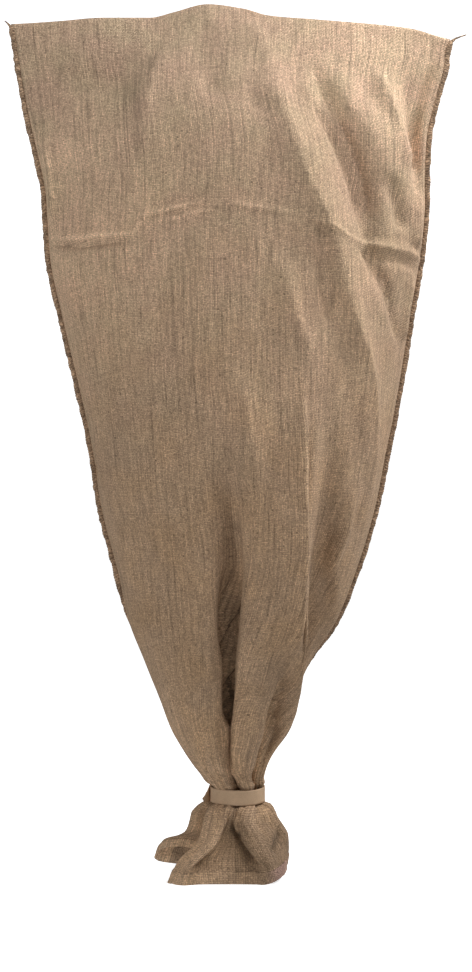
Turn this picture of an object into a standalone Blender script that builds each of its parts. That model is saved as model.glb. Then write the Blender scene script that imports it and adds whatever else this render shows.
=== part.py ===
"""A burlap sack for a potted plant, drawn over its crown and tied round the trunk.

Metres, +Z up, and the sack's front faces -Y. The origin is the place of the plant's tip, just under
the top fold, and the trunk stands on the Z axis. "Fall" is how far something lies below the top fold.
Angles run round the sack: 0 is the left seam's side, 90 the front, 180 the right seam's side and 270
the back.
"""

from collections import namedtuple

import bmesh
import bpy
import numpy as np

# Driving dimensions
FLAT_WIDTH = 0.75  # the empty sack laid flat, with its seams
CLOTH = 0.002
TOP = 0.005  # the top fold's highest point above the origin
TIE_FALL = 1.3415
HEM_FALL = 1.475
SKIRT_FALL = TIE_FALL + 0.0135  # where the cloth comes out from under the tie
SEAM_WIDTH = 0.009
SEAM_THICKNESS = 0.005
RIBBON_WIDTH = 0.025
RIBBON_THICKNESS = 0.0015
GAP = 0.0004  # between pieces that touch
FOLD_ROUND = 0.0026  # half the thickness of two layers that lie flat together
NECK_RADIUS = 0.0445  # the gathered cloth under the tie
SAME_POINT = 1e-6

# The side seams. They turn towards the back where the cloth gathers, and are pressed thinner there.
SEAM_STARTS = 0.014  # falls between which they show
SEAM_ENDS = 1.26
SEAM_TURNS_FROM = 0.90
LEFT_SEAM_TURN = -26  # degrees they have turned at the tie
RIGHT_SEAM_TURN = 12
SEAM_PRESSED_FROM = 0.95
SEAM_PRESSED_BY = 1.15
SEAM_PRESSED = 0.5  # the share of their size that is lost
SEAM_GAP = 0.0008

# The thread tails at the top corners, tip first: how far out of the seam's top each point is and how high,
# and the tail's half width and half thickness there
Tail = namedtuple("Tail", "reach rise half_width half_thickness")
LEFT_TAIL = (
    Tail(0.0125, 0.0195, 0.0011, 0.0011),
    Tail(0.0085, 0.0160, 0.0014, 0.0013),
    Tail(0.0045, 0.0120, 0.0022, 0.0016),
    Tail(0.0015, 0.0075, 0.0036, 0.0021),
)
RIGHT_TAIL = (
    Tail(0.0295, 0.0215, 0.0011, 0.0011),
    Tail(0.0200, 0.0185, 0.0014, 0.0013),
    Tail(0.0110, 0.0150, 0.0022, 0.0016),
    Tail(0.0040, 0.0095, 0.0036, 0.0021),
)

# The tie: the angle where the ribbon starts, how far it runs on past a full turn, and its free end's points
# from there, with how wide the end still is at each
TIE_START = -12
TIE_OVERLAP = 18
TIE_LIFTS_FROM = 285  # degrees along it, where it starts to climb over its own start
TIE_POINTS = 61
End = namedtuple("End", "x y z width")
TIE_END = (
    End(-0.0014, -0.0042, -0.0010, 0.92),
    End(-0.0042, -0.0072, -0.0022, 0.72),
    End(-0.0075, -0.0088, -0.0032, 0.55),
    End(-0.0105, -0.0088, -0.0038, 0.40),
)

# Shapes across a strip, and colours
ROUND = [(np.cos(turn), np.sin(turn)) for turn in np.radians(np.arange(22.5, 360, 45))]
FLAT = [(1, 1), (-1, 1), (-1, -1), (1, -1)]
BURLAP = (0.342, 0.240, 0.158)
THREAD = (0.260, 0.176, 0.110)
RIBBON = (0.330, 0.235, 0.158)

# How finely the cloth is divided
HALF_COLUMNS = 30
TRACE = 1440  # points on a ring before it is divided evenly
MARKS = np.arange(TRACE + 1) * 360 / TRACE  # their angles, all the way round

# Outline of the sack's section at each fall: where its left and right edges are, how far its front and
# back stand out, and how pointed its two edges are (1 is an ellipse, 2 two layers that meet flat).
Section = namedtuple("Section", "fall left right front back point")
SECTIONS = (
    Section(0.000, -0.379, 0.354, 0.000, 0.000, 1.9),
    Section(0.050, -0.378, 0.355, 0.032, 0.030, 1.9),
    Section(0.095, -0.372, 0.354, 0.058, 0.054, 1.9),
    Section(0.163, -0.360, 0.337, 0.098, 0.092, 1.8),
    Section(0.231, -0.347, 0.323, 0.127, 0.120, 1.7),
    Section(0.333, -0.326, 0.319, 0.149, 0.143, 1.55),
    Section(0.435, -0.318, 0.309, 0.163, 0.158, 1.4),
    Section(0.537, -0.297, 0.291, 0.179, 0.174, 1.3),
    Section(0.640, -0.273, 0.274, 0.193, 0.188, 1.2),
    Section(0.741, -0.250, 0.256, 0.201, 0.196, 1.12),
    Section(0.843, -0.233, 0.237, 0.198, 0.194, 1.05),
    Section(0.945, -0.208, 0.208, 0.186, 0.184, 1.0),
    Section(1.047, -0.184, 0.170, 0.166, 0.166, 1.0),
    Section(1.115, -0.158, 0.129, 0.143, 0.144, 1.0),
    Section(1.183, -0.131, 0.100, 0.118, 0.119, 1.0),
    Section(1.230, -0.112, 0.084, 0.098, 0.100, 1.0),
    Section(1.265, -0.093, 0.063, 0.080, 0.082, 1.0),
    Section(1.295, -0.075, 0.050, 0.062, 0.064, 1.0),
    Section(1.316, -0.0590, 0.0460, 0.0470, 0.0470, 1.0),
    Section(1.328, -0.0445, 0.0445, 0.0419, 0.0419, 1.0),
    Section(1.355, -0.0445, 0.0445, 0.0419, 0.0419, 1.0),
)

# The top fold dips away from the plant's tip towards both corners. "Across" is along the flat cloth.
Dip = namedtuple("Dip", "across fall")
TOP_DIP = (
    Dip(-0.375, 0.034),
    Dip(-0.300, 0.029),
    Dip(-0.220, 0.023),
    Dip(-0.140, 0.023),
    Dip(-0.100, 0.014),
    Dip(-0.040, 0.000),
    Dip(0.024, 0.008),
    Dip(0.065, 0.019),
    Dip(0.150, 0.026),
    Dip(0.310, 0.041),
    Dip(0.375, 0.060),
)
DIP_KEPT_TO = 0.50  # below this fall the dip fades, and is gone at the tie

# The skirt below the tie, as the lines that run down it: where each line leaves the neck, and its x and y at
# the falls in SKIRT_LEVELS. "Lift" is how far it pulls the hem up.
SKIRT_LEVELS = (1.378, 1.410, 1.442, HEM_FALL)
LIFT_STARTS = 1.395
Line = namedtuple("Line", "name angle x y lift")
SKIRT = (
    Line("left lobe tip", -20, (-0.079, -0.088, -0.127, -0.139), (0.022, 0.026, 0.036, 0.040), 0.010),
    Line("left lobe front", -4, (-0.075, -0.083, -0.117, -0.124), (0.002, 0.004, 0.012, 0.014), 0.038),
    Line("left valley", 12, (-0.040, -0.046, -0.060, -0.070), (-0.012, -0.018, -0.020, -0.022), 0.040),
    Line("left pleat side", 28, (-0.059, -0.067, -0.098, -0.112), (-0.036, -0.050, -0.062, -0.066), 0),
    Line("left pleat crest", 44, (-0.051, -0.060, -0.093, -0.106), (-0.055, -0.073, -0.085, -0.086), 0),
    Line("left pleat front", 58, (-0.036, -0.049, -0.082, -0.094), (-0.064, -0.084, -0.096, -0.093), 0),
    Line("left pleat edge", 72, (-0.021, -0.035, -0.068, -0.074), (-0.060, -0.078, -0.091, -0.091), 0),
    Line("behind left pleat", 82, (-0.016, -0.032, -0.060, -0.056), (-0.056, -0.065, -0.079, -0.090), 0),
    Line("centre panel", 93, (-0.008, -0.011, -0.018, -0.016), (-0.055, -0.060, -0.076, -0.089), 0),
    Line("behind right pleat", 104, (-0.001, 0.010, 0.026, 0.026), (-0.056, -0.063, -0.077, -0.090), 0),
    Line("right pleat edge", 114, (0.003, 0.018, 0.038, 0.044), (-0.061, -0.078, -0.091, -0.092), 0),
    Line("right pleat front", 132, (0.022, 0.044, 0.058, 0.064), (-0.067, -0.085, -0.090, -0.086), 0.005),
    Line("right pleat crest", 148, (0.048, 0.068, 0.074, 0.078), (-0.052, -0.066, -0.066, -0.064), 0.012),
    Line("right bulge", 162, (0.068, 0.084, 0.085, 0.081), (-0.028, -0.038, -0.034, -0.030), 0.017),
    Line("right side", 180, (0.066, 0.084, 0.085, 0.082), (0.004, 0.002, 0.004, 0.002), 0.015),
    Line("right valley", 194, (0.046, 0.054, 0.054, 0.056), (0.018, 0.026, 0.030, 0.032), 0.007),
    Line("back lobe 1", 210, (0.054, 0.067, 0.074, 0.077), (0.038, 0.056, 0.067, 0.072), 0),
    Line("back valley 1", 228, (0.029, 0.035, 0.038, 0.040), (0.033, 0.048, 0.057, 0.062), 0),
    Line("back lobe 2", 244, (0.026, 0.034, 0.038, 0.042), (0.054, 0.080, 0.096, 0.102), 0),
    Line("back valley 2", 260, (0.007, 0.007, 0.007, 0.007), (0.036, 0.052, 0.060, 0.064), 0),
    Line("back lobe 3", 277, (-0.007, -0.012, -0.016, -0.018), (0.056, 0.084, 0.102, 0.110), 0),
    Line("back valley 3", 295, (-0.019, -0.026, -0.032, -0.036), (0.034, 0.048, 0.058, 0.062), 0),
    Line("back lobe 4", 310, (-0.038, -0.056, -0.072, -0.080), (0.044, 0.068, 0.086, 0.092), 0),
    Line("left back valley", 324, (-0.042, -0.054, -0.070, -0.076), (0.022, 0.036, 0.048, 0.052), 0),
)

CREST_ROUND = 0.25  # how much of a fold's width its rounded crest takes

# Each fold runs down the sack through a few stations: how far down each is, the angle the fold lies at
# there, how far it stands out (a valley is negative) and its width. "Sharp" is 2 for a soft fold and 1
# for a crease. "Lean" tips a fold over towards growing angles, as a share of how far it stands out.
Fold = namedtuple("Fold", "name falls angles outs widths sharp lean")
FOLDS = (
    # The crown, where the cloth is pulled over the branches
    Fold("left shoulder", (0.04, 0.14, 0.22, 0.32), (78, 71, 67, 64), (0, 0.008, 0.005, 0),
         (0.030, 0.035, 0.040, 0.040), 2.0, 0),
    Fold("left hollow", (0.05, 0.12, 0.25), (60, 50, 46), (0, -0.009, 0), (0.030, 0.045, 0.040), 2.0, 0),
    Fold("crown ridge", (0.10, 0.17, 0.235, 0.33, 0.455, 0.58, 0.75, 0.95), (97, 104, 108, 116, 126, 138, 151, 163),
         (0, 0.007, 0.013, 0.013, 0.013, 0.011, 0.007, 0),
         (0.020, 0.024, 0.028, 0.028, 0.026, 0.024, 0.022, 0.020), 1.7, 0),
    Fold("crown valley", (0.12, 0.16, 0.22, 0.285, 0.35, 0.43, 0.51), (109, 113, 122, 128, 133, 140, 156),
         (0, -0.008, -0.022, -0.024, -0.019, -0.012, 0),
         (0.016, 0.020, 0.024, 0.024, 0.022, 0.020, 0.018), 1.4, 0),
    Fold("right shoulder", (0.06, 0.145, 0.205, 0.27, 0.33), (112, 127, 139, 146, 152), (0, 0.007, 0.010, 0.006, 0),
         (0.024, 0.032, 0.032, 0.028, 0.020), 2.0, 0),
    Fold("corner valley", (0.05, 0.12, 0.19, 0.26, 0.34), (148, 152, 159, 162, 166),
         (0, -0.006, -0.009, -0.007, 0), (0.012, 0.013, 0.013, 0.012, 0.010), 1.8, 0),
    Fold("slant valley", (0.34, 0.40, 0.475, 0.55), (113, 118, 121, 125), (0, -0.009, -0.010, 0),
         (0.018, 0.020, 0.020, 0.018), 1.8, 0),
    Fold("slant ridge", (0.38, 0.475, 0.57, 0.66), (102, 106, 113, 122), (0, 0.006, 0.006, 0),
         (0.020, 0.022, 0.022, 0.020), 1.8, 0),
    Fold("centre ridge", (0.58, 0.69, 0.80, 0.93, 1.08), (88, 91, 95, 102, 106),
         (0, 0.006, 0.009, 0.010, 0), (0.020, 0.022, 0.024, 0.024, 0.020), 1.9, 0),
    Fold("centre valley", (0.74, 0.93, 1.09, 1.24, 1.345), (88, 88, 91, 92, 93),
         (0, -0.020, -0.048, -0.042, -0.018), (0.035, 0.024, 0.018, 0.011, 0.006), 1.35, 0),
    Fold("main ridge", (0.58, 0.71, 0.84, 0.99, 1.12, 1.24, 1.33), (115, 114, 114, 118, 133, 157, 170),
         (0, 0.009, 0.018, 0.030, 0.030, 0.009, 0), (0.012, 0.014, 0.017, 0.020, 0.022, 0.018, 0.012),
         1.4, 0.6),
    Fold("main hollow", (0.58, 0.74, 0.89, 1.02, 1.13, 1.25), (124, 127, 133, 143, 156, 180),
         (0, -0.012, -0.024, -0.036, -0.034, 0), (0.020, 0.024, 0.028, 0.028, 0.020, 0.014), 1.6, 0),
    Fold("recess ridge", (0.76, 0.86, 0.95, 1.04), (146, 143, 141, 150), (0, 0.008, 0.008, 0),
         (0.012, 0.012, 0.012, 0.012), 1.8, 0),
    Fold("second valley", (1.04, 1.17, 1.24, 1.304, 1.345), (116, 134, 140, 144, 148),
         (0, -0.022, -0.026, -0.020, -0.018), (0.018, 0.013, 0.011, 0.008, 0.006), 1.4, 0),
    Fold("right seam valley", (1.05, 1.25, 1.345), (184, 190, 192), (0, -0.020, -0.017),
         (0.020, 0.012, 0.006), 1.5, 0),
    Fold("left seam valley", (0.98, 1.20, 1.345), (-8, -20, -36), (0, -0.018, -0.017),
         (0.024, 0.014, 0.006), 1.5, 0),
    Fold("left pleat", (1.24, 1.31, 1.345), (18, 14, 12), (0, -0.005, -0.015),
         (0.010, 0.008, 0.006), 1.5, 0),
    # The back
    Fold("back ridge", (0.20, 0.45, 0.75), (246, 240, 234), (0, 0.012, 0), (0.030, 0.040, 0.030), 2.0, 0),
    Fold("back valley 1", (0.52, 0.90, 1.10, 1.345), (224, 224, 226, 227), (0, -0.034, -0.046, -0.016),
         (0.030, 0.024, 0.017, 0.007), 1.4, -0.3),
    Fold("back valley 2", (0.76, 1.00, 1.16, 1.345), (262, 262, 261, 260), (0, -0.026, -0.034, -0.016),
         (0.030, 0.020, 0.013, 0.007), 1.4, 0),
    Fold("back valley 3", (0.46, 0.84, 1.08, 1.345), (298, 294, 294, 295), (0, -0.036, -0.048, -0.016),
         (0.034, 0.026, 0.018, 0.007), 1.4, 0.3),
)


def through(at, knots, values, level_ends=False):
    """A smooth curve through a table's rows, that never runs past the rows on either side of it."""
    knots, values = np.asarray(knots, float), np.asarray(values, float)
    slope = np.diff(values) / np.diff(knots)
    tangent = np.concatenate([slope[:1], np.zeros(len(slope) - 1), slope[-1:]])
    if level_ends:
        tangent[[0, -1]] = 0
    for k in range(1, len(slope)):
        if slope[k - 1] * slope[k] > 0:
            tangent[k] = 2 * slope[k - 1] * slope[k] / (slope[k - 1] + slope[k])
    at = np.clip(at, knots[0], knots[-1])
    k = np.clip(np.searchsorted(knots, at, side="right") - 1, 0, len(slope) - 1)
    step = knots[k + 1] - knots[k]
    t = (at - knots[k]) / step
    rise = values[k + 1] - values[k]
    bend = step * (tangent[k] * (1 - t) - tangent[k + 1] * t)
    return values[k] + rise * t * t * (3 - 2 * t) + bend * t * (1 - t)


def column(table, name):
    return [getattr(row, name) for row in table]


def ease(t):
    t = np.clip(t, 0, 1)
    return t * t * (3 - 2 * t)


def dip(across, fall):
    """How far the cloth at this place hangs below the middle of its row."""
    kept = 1 - ease((fall - DIP_KEPT_TO) / (TIE_FALL - DIP_KEPT_TO))
    return kept * through(across, column(TOP_DIP, "across"), column(TOP_DIP, "fall"))


def section(fall):
    """The sack's section at a fall, as points round it before any fold is laid in."""
    angle = np.radians(np.arange(TRACE) * 360 / TRACE)
    falls = column(SECTIONS, "fall")
    size = {name: through(fall, falls, column(SECTIONS, name)) for name in Section._fields[1:]}
    left = through(fall + dip(-FLAT_WIDTH / 2, fall), falls, column(SECTIONS, "left"))
    right = through(fall + dip(FLAT_WIDTH / 2, fall), falls, column(SECTIONS, "right"))
    up = np.abs(np.sin(angle))
    side = np.where(angle < np.pi, -1, 1)
    depth = np.where(angle < np.pi, size["front"], size["back"])
    flat = FOLD_ROUND * np.sqrt(np.clip(up / 0.1, 0, 1)) * min(1, fall / FOLD_ROUND)
    x = (left + right) / 2 - (right - left) / 2 * np.cos(angle)
    y = side * (depth * up ** size["point"] + flat)
    return x, y


def skirt(fall, degrees):
    """Where the skirt's cloth is at a fall, for each angle it left the neck at, and how far it is lifted."""
    angles = np.array(column(SKIRT, "angle"), float)
    fall = max(fall, SKIRT_LEVELS[0])
    lift = np.array(column(SKIRT, "lift")) * ease((fall - LIFT_STARTS) / (HEM_FALL - LIFT_STARTS))
    x = [through(fall, SKIRT_LEVELS, line.x) for line in SKIRT]
    y = [through(fall, SKIRT_LEVELS, line.y) for line in SKIRT]
    values = np.column_stack([x, y, lift])
    angles = np.concatenate([angles[-2:] - 360, angles, angles[:2] + 360])
    values = np.concatenate([values[-2:], values, values[:2]])
    slopes = (values[2:] - values[:-2]) / (angles[2:] - angles[:-2])[:, None]
    degrees = (np.asarray(degrees) - angles[2]) % 360 + angles[2]
    k = np.searchsorted(angles, degrees, side="right") - 1
    step = (angles[k + 1] - angles[k])[:, None]
    t = (degrees - angles[k])[:, None] / step
    rise = values[k + 1] - values[k]
    bend = (slopes[k - 1] * step - rise) * (1 - t) - (slopes[k] * step - rise) * t
    return (values[k] + rise * t + bend * t * (1 - t)).T


def lengths(x, y):
    """Distance along a closed ring up to each of its points, and all the way round."""
    step = np.hypot(np.roll(x, -1) - x, np.roll(y, -1) - y)
    return np.concatenate([[0], np.cumsum(step)[:-1]]), step.sum()


def folded(fall):
    """The section with every fold laid in, opening into the skirt below the tie, and how far it is lifted."""
    x, y = section(fall)
    along, total = lengths(x, y)
    tangent = np.stack([np.roll(x, -1) - np.roll(x, 1), np.roll(y, -1) - np.roll(y, 1)])
    tangent /= np.maximum(np.hypot(*tangent), 1e-9)
    out = np.zeros(TRACE)
    slide = np.zeros(TRACE)
    for fold in FOLDS:
        if fall < fold.falls[0]:
            continue
        angle = through(fall, fold.falls, fold.angles) % 360
        height = through(fall, fold.falls, fold.outs, level_ends=True)
        width = through(fall, fold.falls, fold.widths)
        centre = np.interp(angle, MARKS, np.append(along, total))
        away = (along - centre + total / 2) % total - total / 2
        shape = np.exp(-((np.hypot(away / width, CREST_ROUND) - CREST_ROUND) ** fold.sharp))
        out += height * shape
        slide += fold.lean * height * shape
    x, y = x + tangent[1] * out + tangent[0] * slide, y - tangent[0] * out + tangent[1] * slide
    skirt_x, skirt_y, lift = skirt(fall, MARKS[:-1])
    opened = np.sin(np.pi / 2 * np.clip((fall - SKIRT_FALL) / (SKIRT_LEVELS[0] - SKIRT_FALL), 0, 1))
    return x + opened * (skirt_x - x), y + opened * (skirt_y - y), lift


def seam_angles(fall):
    """Where the seams lie: both turn towards the back as the cloth gathers."""
    turn = ease((fall - SEAM_TURNS_FROM) / (TIE_FALL - SEAM_TURNS_FROM))
    return LEFT_SEAM_TURN * turn, 180 + RIGHT_SEAM_TURN * turn


def places(fall):
    """The angles of a row's points, at even distances along it, from the left seam round the front."""
    x, y, _ = folded(min(fall, SKIRT_FALL))
    along, total = lengths(x, y)
    ends = np.append(along, total)
    left, right = seam_angles(fall)
    start = np.interp(left % 360, MARKS, ends) - (total if left < 0 else 0)
    middle = np.interp(right, MARKS, ends)
    front = np.linspace(start, middle, HALF_COLUMNS + 1)
    back = np.linspace(middle, start + total, HALF_COLUMNS + 1)[1:-1]
    return np.interp(np.concatenate([front, back]) % total, ends, MARKS)


def ring(fall):
    """One row of the cloth. In the skirt, its points stay on the lines that they left the neck on."""
    angles = places(fall)
    across = FLAT_WIDTH * (np.arange(HALF_COLUMNS + 1) / HALF_COLUMNS - 0.5)
    across = np.concatenate([across, across[-2:0:-1]])
    x, y, lift = [np.interp(angles, MARKS, np.append(values, values[0])) for values in folded(fall)]
    return np.stack([x, y, TOP - fall - dip(across, fall) + lift], axis=1)


def normals(grid):
    """Outward directions at each point of the rows, worked out from their neighbours."""
    round_it = np.roll(grid, -1, axis=1) - np.roll(grid, 1, axis=1)
    down = np.empty_like(grid)
    down[1:-1] = grid[2:] - grid[:-2]
    down[0], down[-1] = grid[1] - grid[0], grid[-1] - grid[-2]
    out = np.cross(down, round_it)
    return out / np.maximum(np.linalg.norm(out, axis=2, keepdims=True), 1e-9)


def cloth_rows():
    """The falls of the rows: close at the top fold, round the tie and at the hem."""
    return np.concatenate([
        [0.0, 0.003, 0.014, 0.032],
        np.linspace(0.060, 1.020, 22),
        np.linspace(1.052, 1.295, 9),
        [1.312, 1.328, TIE_FALL, SKIRT_FALL, 1.361, 1.368, 1.378],
        [1.392, 1.408, 1.425, 1.442, 1.458, HEM_FALL],
    ])


def new_object(name, points, faces, colour):
    """An object from points and faces, with points that coincide made one, and its own cloth material."""
    shape = bmesh.new()
    corners = [shape.verts.new(point) for point in points]
    for face in faces:
        shape.faces.new([corners[index] for index in face])
    bmesh.ops.remove_doubles(shape, verts=shape.verts, dist=SAME_POINT)
    bmesh.ops.recalc_face_normals(shape, faces=shape.faces)
    mesh = bpy.data.meshes.new(name)
    shape.to_mesh(mesh)
    shape.free()
    mesh.shade_smooth()
    mesh.set_sharp_from_angle(angle=np.radians(60))
    material = bpy.data.materials.new(name)
    material.use_nodes = True
    surface = material.node_tree.nodes["Principled BSDF"]
    surface.inputs["Base Color"].default_value = (*colour, 1)
    surface.inputs["Roughness"].default_value = 0.95
    surface.inputs["Metallic"].default_value = 0
    mesh.materials.append(material)
    made = bpy.data.objects.new(name, mesh)
    bpy.context.scene.collection.objects.link(made)
    return made


def bands(rows, count):
    """Quads between closed rows of points, given by the number of each row's first point."""
    faces = []
    for upper, lower in zip(rows, rows[1:]):
        for i in range(count):
            after = (i + 1) % count
            faces.append((upper + i, lower + i, lower + after, upper + after))
    return faces


def make_sack(cloth):
    """The cloth with both its faces: the outer rows, the rows inside them, and the rim at the hem."""
    inside = cloth - CLOTH * normals(cloth)
    opposite = np.roll(inside[1, ::-1], 1, axis=0)  # the point across the fold from each point
    inside[0] = (inside[1] + opposite) / 2
    inside[0, :, 1] = 0
    inside[0, :, 2] = np.maximum(inside[1, :, 2], opposite[:, 2]) + FOLD_ROUND / 4
    rows, count = cloth.shape[:2]
    outer = [row * count for row in range(rows)]
    inner = [(rows + row) * count for row in range(rows)]
    points = np.concatenate([cloth.reshape(-1, 3), inside.reshape(-1, 3)])
    return new_object("sack", points, bands(outer + inner[::-1], count), BURLAP)


def make_strip(name, path, out, half_width, half_thickness, profile, colour):
    """A closed strip along a path. "Out" is the way its thickness faces at each point of the path."""
    path, out = np.array(path), np.array(out)
    along = np.gradient(path, axis=0)
    along /= np.linalg.norm(along, axis=1, keepdims=True)
    width_way = np.cross(along, out)
    width_way /= np.linalg.norm(width_way, axis=1, keepdims=True)
    out = np.cross(width_way, along)
    width_way *= np.transpose([half_width])
    out *= np.transpose([half_thickness])
    points = np.stack([path + u * width_way + v * out for u, v in profile], axis=1).reshape(-1, 3)
    count, last = len(profile), (len(path) - 1) * len(profile)
    faces = bands([row * count for row in range(len(path))], count)
    faces += [tuple(range(count)), tuple(range(last, last + count))]
    return new_object(name, points, faces, colour)


def make_seam(name, cloth, falls, index, tail):
    """The overlocked ridge outside one side edge of the cloth, from its thread tail down into the gathers."""
    rows = [row for row, fall in enumerate(falls) if SEAM_STARTS <= fall <= SEAM_ENDS]
    outward = cloth[rows, index] * (1, 1, 0)
    outward /= np.linalg.norm(outward, axis=1, keepdims=True)
    along = (falls[rows] - SEAM_PRESSED_FROM) / (SEAM_PRESSED_BY - SEAM_PRESSED_FROM)
    kept = 1 - SEAM_PRESSED * ease(along)
    path = cloth[rows, index] + outward * (SEAM_WIDTH / 2 * kept[:, None] + SEAM_GAP)
    away = np.sign(path[0, 0])
    loose = [path[0] + (away * point.reach, 0, point.rise) for point in tail]
    faces_way = np.cross((0, 0, 1), outward)
    faces_way = np.concatenate([np.tile(faces_way[0], (len(loose), 1)), faces_way])
    half_width = np.concatenate([column(tail, "half_width"), SEAM_WIDTH / 2 * kept])
    half_thickness = np.concatenate([column(tail, "half_thickness"), SEAM_THICKNESS / 2 * kept])
    path = np.concatenate([loose, path])
    return make_strip(name, path, faces_way, half_width, half_thickness, ROUND, THREAD)


def make_tie():
    """The ribbon, once round the neck and over its own start, with its free end standing out at the left."""
    turn = np.radians(np.linspace(TIE_START, TIE_START + 360 + TIE_OVERLAP, TIE_POINTS))
    climb = (np.degrees(turn) - TIE_START - TIE_LIFTS_FROM) / (360 - TIE_LIFTS_FROM)
    lift = ease(climb) * (RIBBON_THICKNESS + GAP)
    reach = NECK_RADIUS + 2 * GAP + RIBBON_THICKNESS / 2 + lift
    level = np.full(len(turn), TOP - TIE_FALL)
    path = np.stack([-reach * np.cos(turn), -reach * np.sin(turn), level], axis=1)
    path = np.concatenate([path, path[-1] + [point[:3] for point in TIE_END]])
    out = np.gradient(path, axis=0)[:, [1, 0, 2]] * (1, -1, 0)
    out /= np.linalg.norm(out, axis=1, keepdims=True)
    half_width = np.full(len(path), RIBBON_WIDTH / 2)
    half_width[-len(TIE_END):] *= column(TIE_END, "width")
    half_thickness = np.full(len(path), RIBBON_THICKNESS / 2)
    return make_strip("tie_band", path, out, half_width, half_thickness, FLAT, RIBBON)


for leftover in list(bpy.data.objects):
    bpy.data.objects.remove(leftover)
row_falls = cloth_rows()
cloth_grid = np.array([ring(fall) for fall in row_falls])
make_sack(cloth_grid)
make_seam("seam_left", cloth_grid, row_falls, 0, LEFT_TAIL)
make_seam("seam_right", cloth_grid, row_falls, HALF_COLUMNS, RIGHT_TAIL)
make_tie()
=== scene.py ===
"""Looks of the burlap plant sack: its cloth with creases and hem, overlocked seams, ribbon and loose fibres.

Metres, in the frame of the solids. "Fall" is how far something lies below the top fold, and "across" how
far it is from the middle of the front along the flat cloth. Angles, in degrees, run round the sack: 0 is the left
seam's side, 90 the front, 180 the right seam's side and 270 the back.
"""

from collections import namedtuple

import bpy
import numpy as np
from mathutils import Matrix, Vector


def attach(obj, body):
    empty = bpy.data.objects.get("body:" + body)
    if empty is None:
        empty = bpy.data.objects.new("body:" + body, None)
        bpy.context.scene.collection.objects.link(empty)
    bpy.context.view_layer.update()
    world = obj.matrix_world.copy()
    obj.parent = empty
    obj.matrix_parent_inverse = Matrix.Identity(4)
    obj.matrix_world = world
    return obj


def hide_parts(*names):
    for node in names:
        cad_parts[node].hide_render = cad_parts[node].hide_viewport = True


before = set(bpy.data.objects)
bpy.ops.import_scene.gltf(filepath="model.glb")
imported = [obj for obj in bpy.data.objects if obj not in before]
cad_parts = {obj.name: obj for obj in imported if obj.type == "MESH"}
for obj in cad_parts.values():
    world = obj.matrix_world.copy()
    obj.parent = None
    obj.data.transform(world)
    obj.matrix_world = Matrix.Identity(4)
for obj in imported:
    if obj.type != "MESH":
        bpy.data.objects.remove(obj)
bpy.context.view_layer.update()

# Sizes, as the solids have them
FLAT_WIDTH = 0.75
TOP = 0.005
TIE_FALL = 1.3415
HEM_FALL = 1.475
SKIRT_FALL = TIE_FALL + 0.0135
SEAM_WIDTH = 0.009
SEAM_THICKNESS = 0.005
RIBBON_WIDTH = 0.025
RIBBON_THICKNESS = 0.0015
GAP = 0.0004
FOLD_ROUND = 0.0026
SIDE_ROUND = 0.1  # how far round from a side its edge is rounded, as a sine
NECK_RADIUS = 0.0445
SEAM_STARTS = 0.014
SEAM_ENDS = 1.26
SEAM_TURNS_FROM = 0.90
LEFT_SEAM_TURN = -26
RIGHT_SEAM_TURN = 12
SEAM_PRESSED_FROM = 0.95
SEAM_PRESSED_BY = 1.15
SEAM_PRESSED = 0.5
SEAM_GAP = 0.0008
TIE_START = -12
TIE_OVERLAP = 18
TIE_LIFTS_FROM = 285
DIP_KEPT_TO = 0.50
CREST_ROUND = 0.25
LIFT_STARTS = 1.395

# Sizes of the finer cloth, seams and ribbon
WALL = 0.0024  # the cloth's thickness, yarns and all
HEM_BAND = 0.020
HEM_STEP = 0.0022  # how far the turned-up hem stands out
HALF_COLUMNS = 170
INNER_EVERY = 4  # the inner face has each fourth row, and each second point in it
INNER_FROM = 4  # it has no row above this one but the top fold
TRACE = 1440
MARKS = np.arange(TRACE + 1) * 360 / TRACE
CORNER_PULL = 0.0065  # how far the seams' tails pull the top corners out
CORNER_SHARE = 0.010  # of the way round is pulled with them
CORNER_FALL = 0.012
WRAP_PITCH = 0.0046  # between the threads wrapped round a seam
SEAM_OVERLAP = 0.0016  # how far a seam reaches in over the cloth
SEAM_SIDES = 12
LONGER_THAN_SEAM = 3.0
WRAP_ROWS = 4  # rows of points to each thread
WRAP_SLANT = 0.5  # in threads
WRAP_SIZE = (0.68, 1.06)  # how thin and how thick the wrapping is in places
WRAP_SIZE_EVERY = 0.007
WRAP_DRIFT = 0.5  # in threads
WRAP_DRIFT_EVERY = 0.013
WRAP_DEPTH = 0.14  # of the grooves between the threads
RIBBON_TURN_POINTS = 181
RIBBON_ROWS = 260
RIBBON_ACROSS = 11  # points over each of its faces
RIBBON_WAVES = ((0.0004, 41, 0), (0.0003, 97, 1))  # height, pace and start of each, as it isn't quite level
RANDOM = np.random.default_rng(20)


def in_metres(kind, lengths, rows):
    """A table's rows, whose lengths are written in millimetres."""
    made = []
    for row in rows:
        row = kind(*row)
        made.append(row._replace(**{name: np.array(getattr(row, name)) / 1000 for name in lengths.split()}))
    return made


Tail = namedtuple("Tail", "reach rise half_width half_thickness")
LEFT_TAIL = in_metres(Tail, "reach rise half_width half_thickness", (
    (12.5, 19.5, 1.1, 1.1),
    (8.5, 16, 1.4, 1.3),
    (4.5, 12, 2.2, 1.6),
    (1.5, 7.5, 3.6, 2.1),
))
RIGHT_TAIL = in_metres(Tail, "reach rise half_width half_thickness", (
    (29.5, 21.5, 1.1, 1.1),
    (20, 18.5, 1.4, 1.3),
    (11, 15, 2.2, 1.6),
    (4, 9.5, 3.6, 2.1),
))
End = namedtuple("End", "x y z width")
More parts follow.
